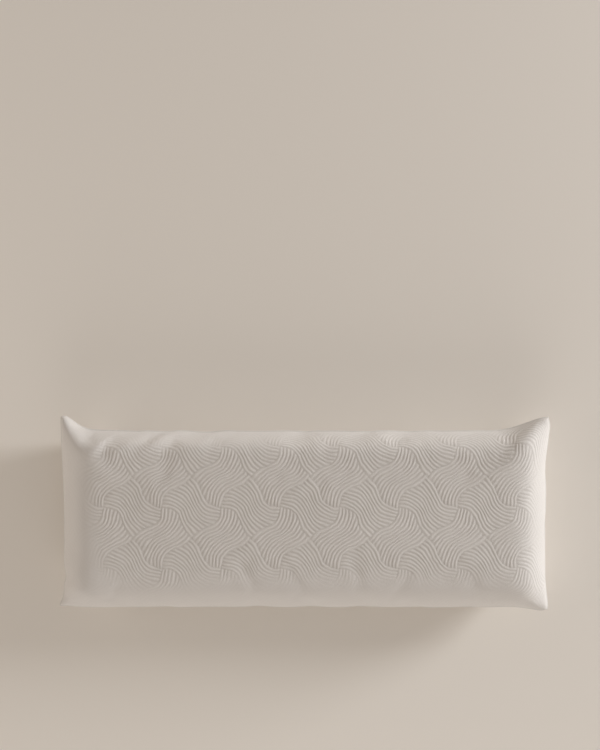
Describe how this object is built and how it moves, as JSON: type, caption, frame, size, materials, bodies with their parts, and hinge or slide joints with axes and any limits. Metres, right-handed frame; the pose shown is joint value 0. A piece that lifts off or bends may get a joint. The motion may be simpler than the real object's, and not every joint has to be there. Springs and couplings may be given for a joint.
{
  "type": "memory foam pillow",
  "caption": "Long, low foam pillow in a knitted cover: two panels joined by a seam all round, nearly flat faces, sloped rims and soft corner ears.",
  "frame": {"origin": "on the surface under the middle of the pillow, which lies on its back", "axes": "+X along the length, +Y across the width towards the upper long side in the picture, +Z out of the front face"},
  "size_m": [0.9003, 0.3564, 0.1305],
  "materials": {
    "cover_cloth": "matt jacquard knit with soft embossed ribs, woven over and under in bands that swirl about a square lattice"
  },
  "bodies": {
    "root": {"pillow": "cover_cloth"}
  },
  "joints": []
}
